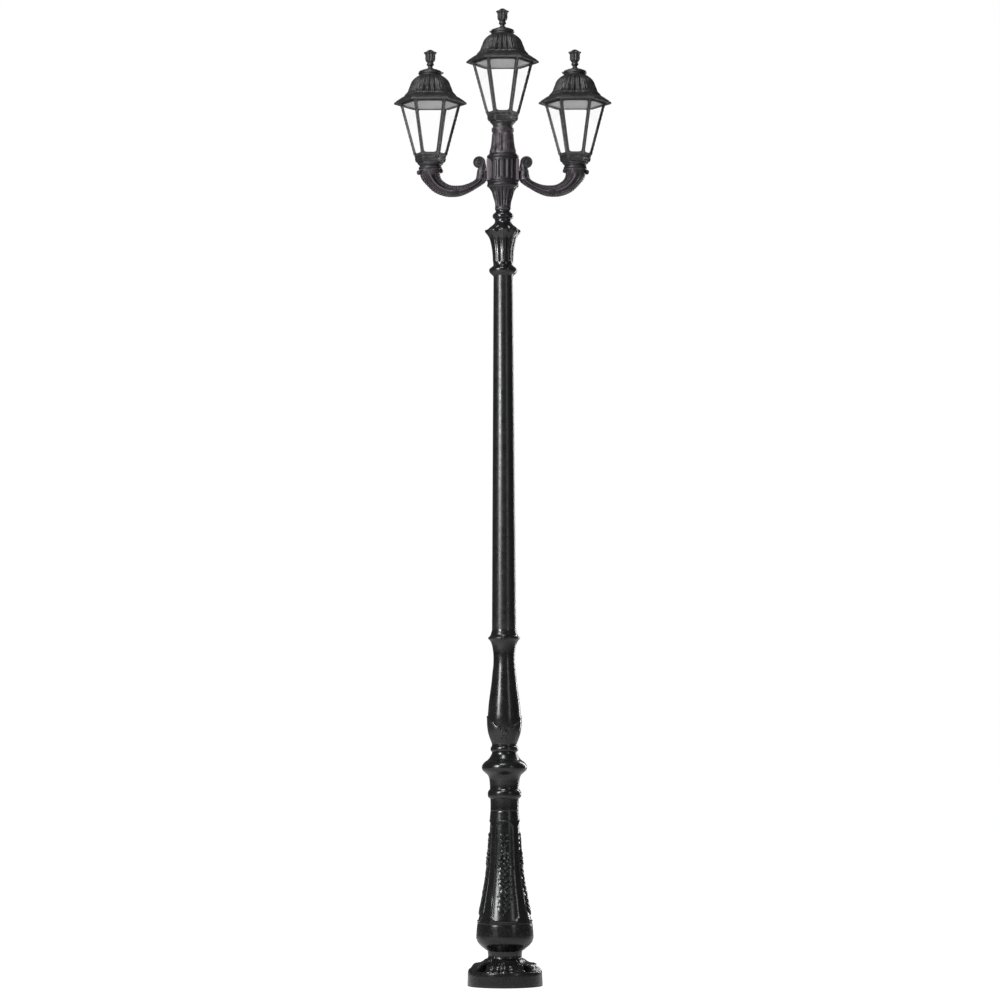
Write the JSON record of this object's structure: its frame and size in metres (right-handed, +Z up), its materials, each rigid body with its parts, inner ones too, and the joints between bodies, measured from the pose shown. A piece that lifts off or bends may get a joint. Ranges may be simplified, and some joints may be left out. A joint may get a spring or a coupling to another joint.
{
  "type": "lamp post",
  "caption": "Tall turned garden lamp post with a panelled vase base, scrolled arms and six-sided glazed lanterns whose roofs lift off under turning finials.",
  "frame": {"origin": "on the ground at the middle of the foot's underside", "axes": "+Z up the post; X along the two arms, +X to the right seen from the front; the front faces -Y"},
  "size_m": [0.7612, 0.259, 3.3999],
  "materials": {
    "iron_black": "gloss",
    "steel_black": "gloss",
    "cast_black": "gloss",
    "cast_charcoal": "matte",
    "lantern_grey": "satin",
    "clear_glass": "gloss",
    "ceiling_white": "matte",
    "led_board": "matte",
    "seal_rubber": "matte",
    "plated_steel": "satin"
  },
  "bodies": {
    "post": {"base_foot": "iron_black", "base_rosette": "iron_black", "base_vase": "iron_black", "knop": "iron_black", "baluster": "iron_black", "shaft_tube": "steel_black", "capital": "cast_black", "core_tube": "plated_steel", "hub_foot": "cast_charcoal", "hub_drum": "cast_charcoal", "hub_head": "cast_charcoal", "arm_left": "cast_charcoal", "arm_right": "cast_charcoal", "arm_screws": "plated_steel", "lantern_base_left": "lantern_grey", "lock_nut_left": "plated_steel", "cage_left": "lantern_grey", "cage_panes_left": "clear_glass", "light_tray_left": "plated_steel", "roof_gasket_left": "seal_rubber", "led_board_left": "led_board", "diffuser_left": "ceiling_white", "lantern_base_centre": "lantern_grey", "lock_nut_centre": "plated_steel", "cage_centre": "lantern_grey", "cage_panes_centre": "clear_glass", "light_tray_centre": "plated_steel", "roof_gasket_centre": "seal_rubber", "led_board_centre": "led_board", "diffuser_centre": "ceiling_white", "lantern_base_right": "lantern_grey", "lock_nut_right": "plated_steel", "cage_right": "lantern_grey", "cage_panes_right": "clear_glass", "light_tray_right": "plated_steel", "roof_gasket_right": "seal_rubber", "led_board_right": "led_board", "diffuser_right": "ceiling_white"},
    "roof_left": {"roof_shell_left": "lantern_grey", "vent_cap_left": "lantern_grey", "cap_screw_left": "plated_steel"},
    "finial_left": {"finial_left": "lantern_grey"},
    "roof_centre": {"roof_shell_centre": "lantern_grey", "vent_cap_centre": "lantern_grey", "cap_screw_centre": "plated_steel"},
    "finial_centre": {"finial_centre": "lantern_grey"},
    "roof_right": {"roof_shell_right": "lantern_grey", "vent_cap_right": "lantern_grey", "cap_screw_right": "plated_steel"},
    "finial_right": {"finial_right": "lantern_grey"}
  },
  "joints": [
    {"name": "roof_left_lift", "type": "slide", "parent": "post", "child": "roof_left", "axis": [0, 0, 1], "range_m": [0, 0.12]},
    {"name": "finial_left_turn", "type": "hinge", "parent": "roof_left", "child": "finial_left", "pos_m": [-0.253, 0, 3.186], "axis": [0, 0, 1], "continuous": true},
    {"name": "roof_centre_lift", "type": "slide", "parent": "post", "child": "roof_centre", "axis": [0, 0, 1], "range_m": [0, 0.12]},
    {"name": "finial_centre_turn", "type": "hinge", "parent": "roof_centre", "child": "finial_centre", "pos_m": [0, 0, 3.332], "axis": [0, 0, 1], "continuous": true},
    {"name": "roof_right_lift", "type": "slide", "parent": "post", "child": "roof_right", "axis": [0, 0, 1], "range_m": [0, 0.12]},
    {"name": "finial_right_turn", "type": "hinge", "parent": "roof_right", "child": "finial_right", "pos_m": [0.253, 0, 3.186], "axis": [0, 0, 1], "continuous": true}
  ]
}
